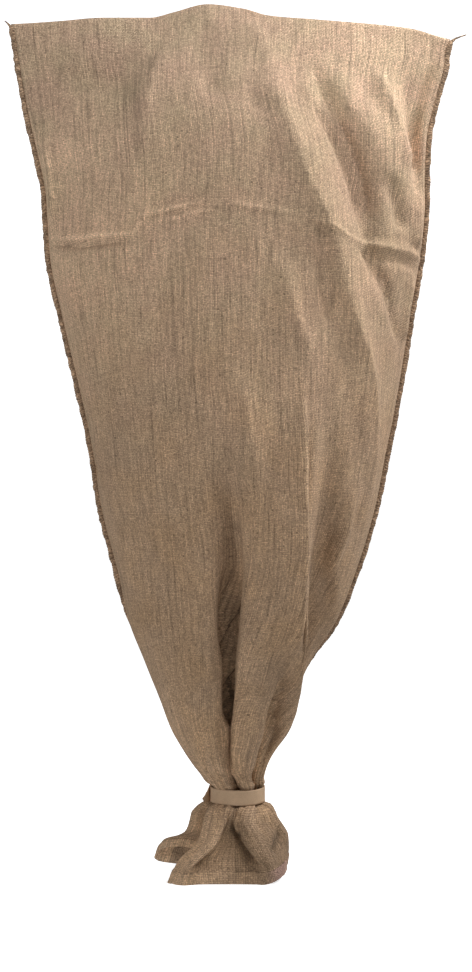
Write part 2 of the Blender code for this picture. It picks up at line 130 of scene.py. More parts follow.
# The ribbon's free end, which hangs a little lower than in the solids. Its widths are shares of the ribbon's.
TIE_END = in_metres(End, "x y z", (
    (-1.2, -3.6, -2.5, 0.78),
    (-3.6, -6.4, -6, 0.58),
    (-7, -8.6, -9, 0.46),
    (-10, -9.4, -10.8, 0.36),
))
Section = namedtuple("Section", "fall left right front back point")
# Where the sack's sides are, how far its faces bulge, and how pointed the sides are
SECTIONS = in_metres(Section, "fall left right front back", (
    (0, -379, 354, 0, 0, 1.9),
    (50, -378, 355, 32, 30, 1.9),
    (95, -372, 354, 58, 54, 1.9),
    (163, -360, 337, 98, 92, 1.8),
    (231, -347, 323, 127, 120, 1.7),
    (333, -326, 319, 149, 143, 1.55),
    (435, -318, 309, 163, 158, 1.4),
    (537, -297, 291, 179, 174, 1.3),
    (640, -273, 274, 193, 188, 1.2),
    (741, -250, 256, 201, 196, 1.12),
    (843, -233, 237, 198, 194, 1.05),
    (945, -208, 208, 186, 184, 1.0),
    (1047, -184, 170, 166, 166, 1.0),
    (1115, -158, 129, 143, 144, 1.0),
    (1183, -131, 100, 118, 119, 1.0),
    (1230, -112, 84, 98, 100, 1.0),
    (1265, -93, 63, 80, 82, 1.0),
    (1295, -75, 50, 62, 64, 1.0),
    (1316, -59, 46, 47, 47, 1.0),
    (1328, -44.5, 44.5, 41.9, 41.9, 1.0),
    (1355, -44.5, 44.5, 41.9, 41.9, 1.0),
))
Dip = namedtuple("Dip", "across fall")
# How far the top fold hangs below its highest place
TOP_DIP = in_metres(Dip, "across fall", (
    (-375, 34),
    (-300, 29),
    (-220, 23),
    (-140, 23),
    (-100, 14),
    (-40, 0),
    (24, 8),
    (65, 19),
    (150, 26),
    (310, 41),
    (375, 60),
))
# Below the tie, each line of cloth runs through these places at four falls. Its end at the hem may be lifted.
SKIRT_LEVELS = (1.378, 1.410, 1.442, HEM_FALL)
Line = namedtuple("Line", "name angle x y lift", defaults=(0,))
SKIRT = in_metres(Line, "x y lift", (
    ("left lobe tip", -20, (-79, -88, -127, -139), (22, 26, 36, 40), 10),
    ("left lobe front", -4, (-75, -83, -117, -124), (2, 4, 12, 14), 38),
    ("left valley", 12, (-40, -46, -60, -70), (-12, -18, -20, -22), 40),
    ("left pleat side", 28, (-59, -67, -98, -112), (-36, -50, -62, -66)),
    ("left pleat crest", 44, (-51, -60, -93, -106), (-55, -73, -85, -86)),
    ("left pleat front", 58, (-36, -49, -82, -94), (-64, -84, -96, -93)),
    ("left pleat edge", 72, (-21, -35, -68, -74), (-60, -78, -91, -91)),
    ("behind left pleat", 82, (-16, -32, -60, -56), (-56, -65, -79, -90)),
    ("centre panel", 93, (-8, -11, -18, -16), (-55, -60, -76, -89)),
    ("behind right pleat", 104, (-1, 10, 26, 26), (-56, -63, -77, -90)),
    ("right pleat edge", 114, (3, 18, 38, 44), (-61, -78, -91, -92)),
    ("right pleat front", 132, (22, 44, 58, 64), (-67, -85, -90, -86), 5),
    ("right pleat crest", 148, (48, 68, 74, 78), (-52, -66, -66, -64), 12),
    ("right bulge", 162, (68, 84, 85, 81), (-28, -38, -34, -30), 17),
    ("right side", 180, (66, 84, 85, 82), (4, 2, 4, 2), 15),
    ("right valley", 194, (46, 54, 54, 56), (18, 26, 30, 32), 7),
    ("back lobe 1", 210, (54, 67, 74, 77), (38, 56, 67, 72)),
    ("back valley 1", 228, (29, 35, 38, 40), (33, 48, 57, 62)),
    ("back lobe 2", 244, (26, 34, 38, 42), (54, 80, 96, 102)),
    ("back valley 2", 260, (7, 7, 7, 7), (36, 52, 60, 64)),
    ("back lobe 3", 277, (-7, -12, -16, -18), (56, 84, 102, 110)),
    ("back valley 3", 295, (-19, -26, -32, -36), (34, 48, 58, 62)),
    ("back lobe 4", 310, (-38, -56, -72, -80), (44, 68, 86, 92)),
    ("left back valley", 324, (-42, -54, -70, -76), (22, 36, 48, 52)),
))
Fold = namedtuple("Fold", "name falls angles outs widths sharp lean", defaults=(0,))
# Each fold's way down the sack, with its height outwards. "Lean" is how far it leans over to one side.
FOLDS = in_metres(Fold, "falls outs widths", (
    ("left shoulder", (40, 140, 220, 320), (78, 71, 67, 64), (0, 8, 5, 0), (30, 35, 40, 40), 2.0),
    ("left hollow", (50, 120, 250), (60, 50, 46), (0, -9, 0), (30, 45, 40), 2.0),
    ("crown ridge", (100, 170, 235, 330, 455, 580, 750, 950), (97, 104, 108, 116, 126, 138, 151, 163),
     (0, 7, 13, 13, 13, 11, 7, 0), (20, 24, 28, 28, 26, 24, 22, 20), 1.7),
    ("crown valley", (120, 160, 220, 285, 350, 430, 510), (109, 113, 122, 128, 133, 140, 156),
     (0, -8, -22, -24, -19, -12, 0), (16, 20, 24, 24, 22, 20, 18), 1.4),
    ("right shoulder", (60, 145, 205, 270, 330), (112, 127, 139, 146, 152), (0, 7, 10, 6, 0),
     (24, 32, 32, 28, 20), 2.0),
    ("corner valley", (50, 120, 190, 260, 340), (148, 152, 159, 162, 166), (0, -6, -9, -7, 0),
     (12, 13, 13, 12, 10), 1.8),
    ("slant valley", (340, 400, 475, 550), (113, 118, 121, 125), (0, -9, -10, 0), (18, 20, 20, 18), 1.8),
    ("slant ridge", (380, 475, 570, 660), (102, 106, 113, 122), (0, 6, 6, 0), (20, 22, 22, 20), 1.8),
    ("centre ridge", (580, 690, 800, 930, 1080), (88, 91, 95, 102, 106), (0, 6, 9, 10, 0), (20, 22, 24, 24, 20),
     1.9),
    ("centre valley", (740, 930, 1090, 1240, 1345), (88, 88, 91, 92, 93), (0, -20, -48, -42, -18),
     (35, 24, 18, 11, 6), 1.35),
    ("main ridge", (580, 710, 840, 990, 1120, 1240, 1330), (115, 114, 114, 118, 133, 157, 170),
     (0, 9, 18, 30, 30, 9, 0), (12, 14, 17, 20, 22, 18, 12), 1.4, 0.6),
    ("main hollow", (580, 740, 890, 1020, 1130, 1250), (124, 127, 133, 143, 156, 180), (0, -12, -24, -36, -34, 0),
     (20, 24, 28, 28, 20, 14), 1.6),
    ("recess ridge", (760, 860, 950, 1040), (146, 143, 141, 150), (0, 8, 8, 0), (12, 12, 12, 12), 1.8),
    ("second valley", (1040, 1170, 1240, 1304, 1345), (116, 134, 140, 144, 148), (0, -22, -26, -20, -18),
     (18, 13, 11, 8, 6), 1.4),
    ("right seam valley", (1050, 1250, 1345), (184, 190, 192), (0, -20, -17), (20, 12, 6), 1.5),
    ("left seam valley", (980, 1200, 1345), (-8, -20, -36), (0, -18, -17), (24, 14, 6), 1.5),
    ("left pleat", (1240, 1310, 1345), (18, 14, 12), (0, -5, -15), (10, 8, 6), 1.5),
    ("back ridge", (200, 450, 750), (246, 240, 234), (0, 12, 0), (30, 40, 30), 2.0),
    ("back valley 1", (520, 900, 1100, 1345), (224, 224, 226, 227), (0, -34, -46, -16), (30, 24, 17, 7), 1.4,
     -0.3),
    ("back valley 2", (760, 1000, 1160, 1345), (262, 262, 261, 260), (0, -26, -34, -16), (30, 20, 13, 7), 1.4),
    ("back valley 3", (460, 840, 1080, 1345), (298, 294, 294, 295), (0, -36, -48, -16), (34, 26, 18, 7), 1.4,
     0.3),
))


# Shape of the cloth, as in the solids
def through(at, knots, values, level_ends=False):
    """A smooth curve through a table's rows, that never runs past the rows on either side of it."""
    knots, values = np.asarray(knots, float), np.asarray(values, float)
    slope = np.diff(values) / np.diff(knots)
    tangent = np.concatenate([slope[:1], np.zeros(len(slope) - 1), slope[-1:]])
    if level_ends:
        tangent[[0, -1]] = 0
    for k in range(1, len(slope)):
        if slope[k - 1] * slope[k] > 0:
            tangent[k] = 2 * slope[k - 1] * slope[k] / (slope[k - 1] + slope[k])
    at = np.clip(at, knots[0], knots[-1])
    k = np.clip(np.searchsorted(knots, at, side="right") - 1, 0, len(slope) - 1)
    step = knots[k + 1] - knots[k]
    t = (at - knots[k]) / step
    gain = values[k + 1] - values[k]
    bend = step * (tangent[k] * (1 - t) - tangent[k + 1] * t)
    return values[k] + gain * t * t * (3 - 2 * t) + bend * t * (1 - t)


def column(table, name):
    return [getattr(row, name) for row in table]


def ease(t):
    t = np.clip(t, 0, 1)
    return t * t * (3 - 2 * t)


def rise(value, start, end):
    """From 0 at the start to 1 at the end, level outside these."""
    return ease((value - start) / (end - start))


def dip(across, fall):
    """How far the cloth at this place hangs below the highest place of its row."""
    kept = 1 - rise(fall, DIP_KEPT_TO, TIE_FALL)
    return kept * through(across, column(TOP_DIP, "across"), column(TOP_DIP, "fall"))


def section(fall):
    """The sack's section at a fall, as points round it before any fold is laid in."""
    angle = np.radians(MARKS[:-1])
    falls = column(SECTIONS, "fall")
    front, back, point = [through(fall, falls, column(SECTIONS, name)) for name in ("front", "back", "point")]
    left = through(fall + dip(-FLAT_WIDTH / 2, fall), falls, column(SECTIONS, "left"))
    right = through(fall + dip(FLAT_WIDTH / 2, fall), falls, column(SECTIONS, "right"))
    up = np.abs(np.sin(angle))
    side = np.where(angle < np.pi, -1, 1)
    depth = np.where(angle < np.pi, front, back)
    flat = FOLD_ROUND * np.sqrt(np.clip(up / SIDE_ROUND, 0, 1)) * min(1, fall / FOLD_ROUND)
    x = (left + right) / 2 - (right - left) / 2 * np.cos(angle)
    y = side * (depth * up ** point + flat)
    return x, y


def skirt(fall, degrees):
    """Where the skirt's cloth is at a fall, for each angle it left the neck at, and how far it is lifted."""
    angles = np.array(column(SKIRT, "angle"), float)
    fall = max(fall, SKIRT_LEVELS[0])
    lift = np.array(column(SKIRT, "lift")) * rise(fall, LIFT_STARTS, HEM_FALL)
    x = [through(fall, SKIRT_LEVELS, line.x) for line in SKIRT]
    y = [through(fall, SKIRT_LEVELS, line.y) for line in SKIRT]
    values = np.column_stack([x, y, lift])
    angles = np.concatenate([angles[-2:] - 360, angles, angles[:2] + 360])
    values = np.concatenate([values[-2:], values, values[:2]])
    slopes = (values[2:] - values[:-2]) / (angles[2:] - angles[:-2])[:, None]
    degrees = (np.asarray(degrees) - angles[2]) % 360 + angles[2]
    k = np.searchsorted(angles, degrees, side="right") - 1
    step = (angles[k + 1] - angles[k])[:, None]
    t = (degrees - angles[k])[:, None] / step
    gain = values[k + 1] - values[k]
    bend = (slopes[k - 1] * step - gain) * (1 - t) - (slopes[k] * step - gain) * t
    return (values[k] + gain * t + bend * t * (1 - t)).T


def lengths(x, y):
    """Distance along a closed ring up to each of its points, and all the way round."""
    step = np.hypot(np.roll(x, -1) - x, np.roll(y, -1) - y)
    return np.concatenate([[0], np.cumsum(step)[:-1]]), step.sum()


def folded(fall):
    """The section with every fold laid in, opening into the skirt below the tie, and how far it is lifted."""
    x, y = section(fall)
    along, total = lengths(x, y)
    tangent = np.stack([np.roll(x, -1) - np.roll(x, 1), np.roll(y, -1) - np.roll(y, 1)])
    tangent /= np.maximum(np.hypot(*tangent), 1e-9)
    out, slide = np.zeros(TRACE), np.zeros(TRACE)
    for fold in FOLDS:
        if fall < fold.falls[0]:
            continue
        angle = through(fall, fold.falls, fold.angles) % 360
        height = through(fall, fold.falls, fold.outs, level_ends=True)
        width = through(fall, fold.falls, fold.widths)
        centre = np.interp(angle, MARKS, np.append(along, total))
        away = (along - centre + total / 2) % total - total / 2
        shape = np.exp(-((np.hypot(away / width, CREST_ROUND) - CREST_ROUND) ** fold.sharp))
        out += height * shape
        slide += fold.lean * height * shape
    x, y = x + tangent[1] * out + tangent[0] * slide, y - tangent[0] * out + tangent[1] * slide
    skirt_x, skirt_y, lift = skirt(fall, MARKS[:-1])
    opened = np.sin(np.pi / 2 * np.clip((fall - SKIRT_FALL) / (SKIRT_LEVELS[0] - SKIRT_FALL), 0, 1))
    return x + opened * (skirt_x - x), y + opened * (skirt_y - y), lift


def seam_angles(fall):
    """Where the seams lie: both turn towards the back as the cloth gathers."""
    turn = rise(fall, SEAM_TURNS_FROM, TIE_FALL)
    return LEFT_SEAM_TURN * turn, 180 + RIGHT_SEAM_TURN * turn


def places(fall):
    """The angles of a row's points, at even distances along it, from the left seam round the front."""
    x, y, _ = folded(min(fall, SKIRT_FALL))
    along, total = lengths(x, y)
    ends = np.append(along, total)
    left, right = seam_angles(fall)
    start = np.interp(left % 360, MARKS, ends) - (total if left < 0 else 0)
    middle = np.interp(right, MARKS, ends)
    front = np.linspace(start, middle, HALF_COLUMNS + 1)
    back = np.linspace(middle, start + total, HALF_COLUMNS + 1)[1:-1]
    return np.interp(np.concatenate([front, back]) % total, ends, MARKS)


def ring(fall):
    """One row of the cloth. In the skirt, its points stay on the lines that they left the neck on."""
    angles = places(fall)
    across = FLAT_WIDTH * (np.arange(HALF_COLUMNS + 1) / HALF_COLUMNS - 0.5)
    across = np.concatenate([across, across[-2:0:-1]])
    x, y, lift = [np.interp(angles, MARKS, np.append(values, values[0])) for values in folded(fall)]
    return np.stack([x, y, TOP - fall - dip(across, fall) + lift], axis=1)


def unit(vectors):
    return vectors / np.maximum(np.linalg.norm(vectors, axis=-1, keepdims=True), 1e-9)


def normals(grid):
    """Outward directions at each point of the rows, worked out from their neighbours."""
    round_it = np.roll(grid, -1, axis=1) - np.roll(grid, 1, axis=1)
    down = np.empty_like(grid)
    down[1:-1] = grid[2:] - grid[:-2]
    down[0], down[-1] = grid[1] - grid[0], grid[-1] - grid[-2]
    return unit(np.cross(down, round_it))


# Finer shape: creases, gathers and the hem. Each crease runs through a few places (across, fall) on the front
# or the back, each from its own middle, with the right seam's side positive. Its height is outwards, "slide"
# is how far it pushes the cloth sideways, and "step" raises its left side and lowers its right side. The last
# column paints light and shade into the colour along it: paler on the fold marks, as wear and a painted highlight
# on their ridges, and darker where it lies deep, as painted shade in the valleys.
Crease = namedtuple("Crease", "name points height width sharp slide step worn", defaults=(0, 0, 0))
FRONT_CREASES = in_metres(Crease, "points height width slide step", (
    ("fold mark, left", ((-372, 364), (-257, 384), (-177, 388), (-145, 354), (-75, 360), (-32, 364)), 6, 3.8, 1.4,
     0, 0, 1.6),
    ("under the left fold mark", ((-372, 374), (-257, 396), (-177, 399)), -5.6, 6, 1.6, 0, 0, -0.9),
    ("fold mark, second", ((-148, 366), (-102, 374), (-32, 378)), 4.2, 3.4, 1.4, 0, 0, 1.0),
    ("fold mark, centre", ((-30, 362), (21, 364), (64, 357), (100, 357)), 3.6, 4, 1.5, 0, 0, 1.0),
    ("fold mark, right", ((85, 358), (155, 371), (193, 385), (246, 388), (300, 384)), 4, 5, 1.3, 0, 0, 0.7),
    ("end of the right fold mark", ((220, 386), (290, 386), (330, 382), (380, 374)), 5, 7.5, 1.5),
    ("under the right mark's end", ((195, 400), (262, 408), (365, 398)), -4, 9, 1.8),
    ("hollow by the right seam", ((245, 415), (280, 450), (300, 490), (330, 540)), -6, 12, 1.6, 0, 3),
    ("edge by the right seam", ((352, 400), (350, 460), (350, 530)), 6, 10, 1.8),
    ("hollow, top left", ((-359, 63), (-300, 99), (-230, 116), (-155, 140)), -9, 22, 2.0),
    ("swell, top left", ((-335, 180), (-338, 240), (-342, 310), (-345, 350)), 7, 13, 1.8, 0, 5),
    ("left slope ridge", ((-295, 420), (-332, 509)), 4.5, 12, 2.0),
    ("left shoulder ridge", ((-105, 40), (-122, 110), (-134, 163), (-138, 230), (-138, 330)), 7, 23, 1.8, 0, 2.5),
    ("tip ridge", ((34, 4), (56, 50), (74, 96), (90, 140), (100, 190)), 7, 30, 1.8, 0, 3.5),
    ("hollow left of the tip", ((-30, 20), (-50, 70), (-40, 130), (-20, 190)), -6, 24, 2.0),
    ("faint ridge", ((-48, 385), (-48, 570)), 2.6, 9, 2.0),
    ("faint hollow", ((-129, 480), (-134, 610)), -3, 13, 2.0),
    ("crown ridge", ((60, 110), (82, 160), (91, 210), (98, 270), (130, 330), (163, 395), (185, 455), (212, 535),
     (234, 580)), 5, 12, 1.5),
    ("crown valley", ((130, 70), (158, 115), (180, 163), (201, 215), (224, 270), (240, 320), (254, 365)), -17, 18,
     1.4, 0, 1),
    ("crown slope", ((125, 130), (145, 180), (163, 235), (186, 285), (206, 335)), 4, 12, 1.8),
    ("right shoulder", ((245, 70), (276, 110), (300, 157), (314, 205), (330, 250)), 10, 19, 1.8, 0, 4),
    ("wall under the right shoulder", ((270, 260), (296, 305), (314, 355)), -11, 16, 1.8),
    ("edge under the right shoulder", ((354, 255), (352, 300), (352, 370)), 9, 12, 1.8),
    ("lower crown ridge", ((185, 470), (212, 535), (240, 590), (262, 660), (279, 740), (300, 820)), 5, 9, 1.4),
    ("strip by right seam", ((358, 30), (352, 75), (347, 120), (346, 170), (350, 220), (360, 250)), -12, 9, 1.8),
    ("slant valley", ((110, 350), (146, 395), (152, 440), (162, 490), (172, 540)), -5, 11, 1.6),
    ("slant ridge", ((72, 420), (84, 475), (100, 530), (122, 590)), 4.5, 11, 1.7),
    ("main ridge", ((113, 600), (107, 728), (105, 862), (108, 960), (122, 1040), (150, 1110)), 3, 6, 1.4, 6, 9),
    ("slope into the valley", ((-30, 720), (-40, 860), (-44, 1000), (-40, 1120)), -12, 24, 1.7),
    ("behind the main ridge", ((127, 640), (122, 740), (120, 870), (126, 970), (140, 1050), (172, 1125)), -13,
     8.5, 1.6, 3),
    ("centre ridge", ((6, 620), (10, 700), (18, 780), (34, 860)), 3.5, 11, 1.7),
    ("recess ridge", ((236, 830), (236, 923), (268, 977), (289, 1032)), 6, 12, 1.6),
    ("recess hollow", ((171, 800), (215, 923), (300, 1050), (320, 1123)), -5, 15, 1.8),
    ("centre valley", ((-22, 790), (-27, 900), (-28, 1010), (-24, 1068), (-16, 1141), (6, 1235)), -18, 8, 1.5, 0,
     0, -0.9),
    ("deep part of the centre valley", ((-30, 930), (-30, 1010), (-24, 1068), (-16, 1141), (6, 1235)), -12, 9.5,
     1.6, 0, 0, -1.2),
    ("lobe over the valley", ((10, 930), (26, 1050), (40, 1150), (50, 1230), (62, 1300)), 5, 12, 1.6, -8),
    ("valley shut above the tie", ((36, 1195), (50, 1250), (66, 1315)), 2, 10, 1.8, -4),
    ("left lobe against the valley", ((-34, 1190), (-14, 1250), (4, 1320)), 8, 16, 1.8, 6),
    ("middle lobe", ((80, 1180), (105, 1240), (125, 1305)), 6, 18, 2.0),
    ("second valley", ((112, 1090), (150, 1160), (190, 1206), (232, 1247), (250, 1300)), -10, 7, 1.5, 0, 0, -1.0),
    ("notch, left seam", ((-375, 764), (-352, 766), (-325, 770)), -6, 6, 1.6),
    ("strip by left seam", ((-352, 540), (-350, 700), (-350, 880)), -3.5, 7, 1.8),
    ("left pleat lip", ((-66, 1364), (-80, 1392), (-86, 1420), (-91, 1450)), 4.5, 7, 1.5, 6, 3),
    ("behind left pleat", ((-45, 1372), (-58, 1400), (-62, 1448)), -9, 8, 1.6, 0, 0, -0.7),
    ("behind right pleat", ((12, 1372), (34, 1397), (62, 1420), (66, 1448)), -13, 8.5, 1.6, 0, 0, -1.2),
    ("right pleat lip", ((30, 1364), (52, 1392), (86, 1415), (92, 1450)), 4.5, 7, 1.5, -6, -3),
    ("pleats meet", ((-40, 1366), (-4, 1370), (30, 1366)), 6, 8, 1.8),
    ("right slit", ((256, 1386), (206, 1405), (154, 1428)), -6, 6, 1.6, 0, 2, -1.8),
    ("small tuck", ((225, 1366), (204, 1392)), -4.5, 4, 1.5),
))
BACK_CREASES = in_metres(Crease, "points height width slide step", (
    ("fold mark", ((-360, 385), (-120, 372), (60, 380), (360, 372)), 3.6, 5, 1.4),
    ("second fold mark", ((-300, 760), (-60, 752), (150, 768), (330, 760)), 2.6, 5, 1.4),
    ("shoulder ridge", ((40, 50), (110, 160), (150, 300), (155, 480)), 8, 15, 1.7),
    ("shoulder hollow", ((-60, 60), (-140, 170), (-210, 280)), -8, 18, 1.8),
    ("long ridge", ((-130, 520), (-120, 700), (-90, 900), (-70, 1080)), 6, 10, 1.5, 0, 3),
    ("slant ridge", ((250, 420), (200, 600), (175, 760)), 6, 12, 1.7),
))
CREASE_PARTS = 50  # places along a crease
CREASE_STARTS = 0.25  # the share of its way over which it rises
CREASE_FADES = 0.2
CREASE_REACH = 3.5  # in widths to each side
STEP_SHARP = 3
STEP_WIDTH = 1.6
CRUMPLES = ((26, 12, 0.0016), (62, 20, 0.0007))  # cells round, cells down, height
GATHERS = ((27, 20, 0.0011), (45, 30, 0.0005))  # folds round, cells of their wander, depth
GATHER_WANDER = 0.8  # in folds
GATHER_ROWS = 9
GATHER_FALLS = (1.08, 1.30, 1.38, 1.45)  # where they start, are full, fade and end
SMOOTH_TO = 0.04  # the top fold's cloth is drawn smooth
PUFFS = ((TIE_FALL - 0.019, 0.0040), (TIE_FALL + 0.020, 0.0050))  # fall and height
PUFF_WIDTH = 0.006


def lattice(across, down, columns, rows, height):
    """Smooth noise up to a height either way, on a grid of cells, the same at both ends across."""
    values = RANDOM.uniform(-1, 1, (rows + 2, columns))
    u = across * columns
    v = np.clip(down, 0, 1) * rows
    i, j = np.floor(u).astype(int), np.floor(v).astype(int)
    s, t = ease(u - i), ease(v - j)
    a = values[j, i % columns] * (1 - s) + values[j, (i + 1) % columns] * s
    b = values[j + 1, i % columns] * (1 - s) + values[j + 1, (i + 1) % columns] * s
    return height * (a * (1 - t) + b * t)


def lay_creases(creases, across, fall, squeeze):
    """How far the creases move the cloth out and sideways. "Squeeze" is how much each row is gathered."""
    out, slide = np.zeros(across.shape), np.zeros(across.shape)
    for crease in creases:
        knots = np.array(crease.points)
        step = np.linalg.norm(np.diff(knots, axis=0), axis=1)
        run = np.concatenate([[0], np.cumsum(step)]) / step.sum()
        t = np.linspace(0, 1, CREASE_PARTS)
        path = np.column_stack([through(t, run, knots[:, 0]), through(t, run, knots[:, 1])])
        strength = ease(t / CREASE_STARTS) * ease((1 - t) / CREASE_FADES)
        reach = CREASE_REACH * crease.width
        low, high = path.min(axis=0), path.max(axis=0)
        close = (across > low[0] - reach / squeeze) & (across < high[0] + reach / squeeze)
        close &= (fall > low[1] - reach) & (fall < high[1] + reach)
        u, v, gathered = across[close], fall[close], squeeze[close]
        near = np.full(u.shape, np.inf)
        held, side = np.zeros(u.shape), np.zeros(u.shape)
        for (a, b), (c, d), power in zip(path, path[1:], strength):
            length = ((c - a) * gathered) ** 2 + (d - b) ** 2
            share = np.clip(((u - a) * (c - a) * gathered ** 2 + (v - b) * (d - b)) / length, 0, 1)
            aside = (u - a - share * (c - a)) * gathered
            distance = np.hypot(aside, v - b - share * (d - b))
            held = np.where(distance < near, power, held)
            side = np.where(distance < near, aside, side)
            near = np.minimum(distance, near)
        shape = held * np.exp(-((near / crease.width) ** crease.sharp))
        tilt = held * np.tanh(STEP_SHARP * side / crease.width)
        out[close] += crease.height * shape
        out[close] -= crease.step * tilt * np.exp(-((near / crease.width / STEP_WIDTH) ** 2))
        slide[close] += crease.slide * shape
    return out, slide


def bell(value, middle, width):
    return np.exp(-(((value - middle) / width) ** 2))


def refine(cloth, falls):
    """The rows of the cloth with every finer shape laid in, and the painted light, shade and wear along the
    creases.
    """
    columns = 2 * HALF_COLUMNS
    u, fall = np.meshgrid(np.arange(columns) / columns, falls)
    around = np.linalg.norm(np.roll(cloth, -1, axis=1) - cloth, axis=2).sum(axis=1)
    squeeze = np.broadcast_to(around[:, None] / (2 * FLAT_WIDTH), fall.shape)
    across = FLAT_WIDTH * (2 * u - 0.5)
    down = fall / HEM_FALL
    out, slide = lay_creases(FRONT_CREASES, across, fall, squeeze)
    # Painted light along the creases: paler fold marks, as wear and a painted highlight, and painted shade in
    # deep valleys
    marks = [crease._replace(height=crease.worn, slide=0, step=0) for crease in FRONT_CREASES if crease.worn]
    worn, _ = lay_creases(marks, across, fall, squeeze)
    back_out, back_slide = lay_creases(BACK_CREASES, FLAT_WIDTH - across, fall, squeeze)
    out += back_out + sum(lattice(u, down, *cells) for cells in CRUMPLES) * rise(fall, 0, SMOOTH_TO)
    starts, full, fades, ends = GATHER_FALLS
    gathered = rise(fall, starts, full) * (1 - rise(fall, fades, ends))
    for count, cells, depth in GATHERS:
        wave = 2 * np.pi * (count * u + lattice(u, down, cells, GATHER_ROWS, GATHER_WANDER))
        out -= gathered * depth * (1 - np.cos(wave))
    for middle, height in PUFFS:
        out += height * bell(fall, middle, PUFF_WIDTH)
    hem_starts = HEM_FALL - HEM_BAND
    out += HEM_STEP * rise(fall, hem_starts - 0.001, hem_starts + 0.001)
    side = unit(np.roll(cloth, -1, axis=1) - np.roll(cloth, 1, axis=1))
    ear = bell(np.minimum(u, 1 - u), 0, CORNER_SHARE) - bell(u, 0.5, CORNER_SHARE)
    cloth = cloth - (ear * bell(fall, 0, CORNER_FALL) * CORNER_PULL)[..., None] * (1, 0, 0)
    return cloth + normals(cloth) * out[..., None] + side * (slide - back_slide)[..., None], worn


def cloth_falls():
    """The falls of the rows: close at the top fold, at the fold mark, round the tie and at the hem."""
    return np.concatenate([
        [0.0, 0.0015, 0.004, 0.008, 0.014, 0.021],
        np.linspace(0.028, 0.340, 46),
        np.linspace(0.345, 0.420, 24),
        np.linspace(0.427, 1.190, 108),
        np.linspace(1.196, 1.310, 19),
        np.linspace(1.314, 1.452, 36),
        [1.4545, 1.4555, 1.460, 1.465, 1.470, HEM_FALL - 0.001, HEM_FALL],
    ])


# Meshes
def bands(rows, count):
    """Quads between closed rows of points, given by the number of each row's first point."""
    upper, lower = np.array(rows[:-1])[:, None], np.array(rows[1:])[:, None]
    here = np.arange(count)[None]
    after = (here + 1) % count
    return np.stack([upper + here, lower + here, lower + after, upper + after], axis=2).reshape(-1, 4)


def put_in(name, data):
    made = bpy.data.objects.new(name, data)
    bpy.context.scene.collection.objects.link(made)
    return made


def new_object(name, points, faces, material, uv=None):
    """An object from points, faces and a material, with a place on the cloth for each corner of each face."""
    mesh = bpy.data.meshes.new(name)
    mesh.from_pydata(np.asarray(points).tolist(), [], [list(face) for face in faces])
    uv = np.zeros((len(mesh.loops), 2)) if uv is None else uv
    mesh.uv_layers.new(name="cloth").data.foreach_set("uv", np.asarray(uv, np.float32).reshape(-1))
    mesh.shade_smooth()
    mesh.materials.append(material)
    return put_in(name, mesh)


def steps_round(count):
    return 2 * np.pi * np.arange(count) / count


def quads(rows, falls, step):
    """Quads between closed rows of corners, and each one's places: columns of the cloth and falls."""
    faces, places = [], []
    for first, second, fall, next_fall in zip(rows, rows[1:], falls, falls[1:]):
        for i in range(len(first)):
            after = (i + 1) % len(first)
            here, there = step * i, step * (i + 1)
            faces.append([first[i], second[i], second[after], first[after]])
            places += [(here, fall), (here, next_fall), (there, next_fall), (there, fall)]
    return faces, places


def make_sack(cloth, falls, worn, material):
    """The cloth with both its faces, the rim at the hem and the closed top fold."""
    rows, count = cloth.shape[:2]
    half = count // 2
    kept = list(range(rows - 1, INNER_FROM - 1, -INNER_EVERY))
    inside = (cloth - WALL * normals(cloth))[kept][:, ::2]
    opposite = np.roll(inside[-1, ::-1], 1, axis=0)  # the point across the fold from each point
    fold = (inside[-1] + opposite) / 2
    fold[:, 1] = 0
    fold[:, 2] = np.maximum(inside[-1, :, 2], opposite[:, 2]) + FOLD_ROUND / 4
    inside = np.concatenate([inside, fold[None]])
    outer = np.arange(rows * count).reshape(rows, count)
    outer[0, half + 1:] = outer[0, half - 1:0:-1]
    inner = rows * count + np.arange(len(inside) * half).reshape(-1, half)
    inner[-1, half // 2 + 1:] = inner[-1, half // 2 - 1:0:-1]
    faces, uv = quads(outer, falls, 1)
    rim_out, rim_in = outer[-1], inner[0]
    for i in range(0, count, 2):
        after = (i // 2 + 1) % half
        faces.append([rim_out[i], rim_in[i // 2], rim_in[after], rim_out[(i + 2) % count], rim_out[i + 1]])
        uv += [(place, HEM_FALL) for place in (i, i, i + 2, i + 2, i + 1)]
    inner_faces, inner_uv = quads(inner, [*falls[kept], 0], 2)
    uv = np.array(uv + inner_uv)
    uv[:, 0] = FLAT_WIDTH * (2 * uv[:, 0] / count - 0.5)
    points = np.concatenate([cloth.reshape(-1, 3), inside.reshape(-1, 3)])
    used, faces = tidy_corners(faces + inner_faces)
    made = new_object("burlap_sack", points[used], faces, material, uv)
    # The painted light, shade and wear along the creases; the inner face has none
    worn = np.append(worn.ravel(), np.zeros(inside.shape[0] * half))
    made.data.attributes.new("worn", "FLOAT", "POINT").data.foreach_set("value", worn[used].astype(np.float32))
    return made


def tidy_corners(faces):
    """The points that the faces use, and the faces with their corners numbered among those."""
    used = sorted({corner for face in faces for corner in face})
    number = {corner: place for place, corner in enumerate(used)}
    return used, [[number[corner] for corner in face] for face in faces]


def sweep(path, out, half_width, half_thickness, profile):
    """Rows of points along a path. "Out" is the way the thickness faces at each point of the path."""
    along = unit(np.gradient(path, axis=0))
    width_way = unit(np.cross(along, out))
    out = np.cross(width_way, along)
    profile = np.asarray(profile)
    wide = width_way[:, None] * (np.transpose([half_width]) * profile[..., 0])[..., None]
    thick = out[:, None] * (np.transpose([half_thickness]) * profile[..., 1])[..., None]
    return path[:, None] + wide + thick


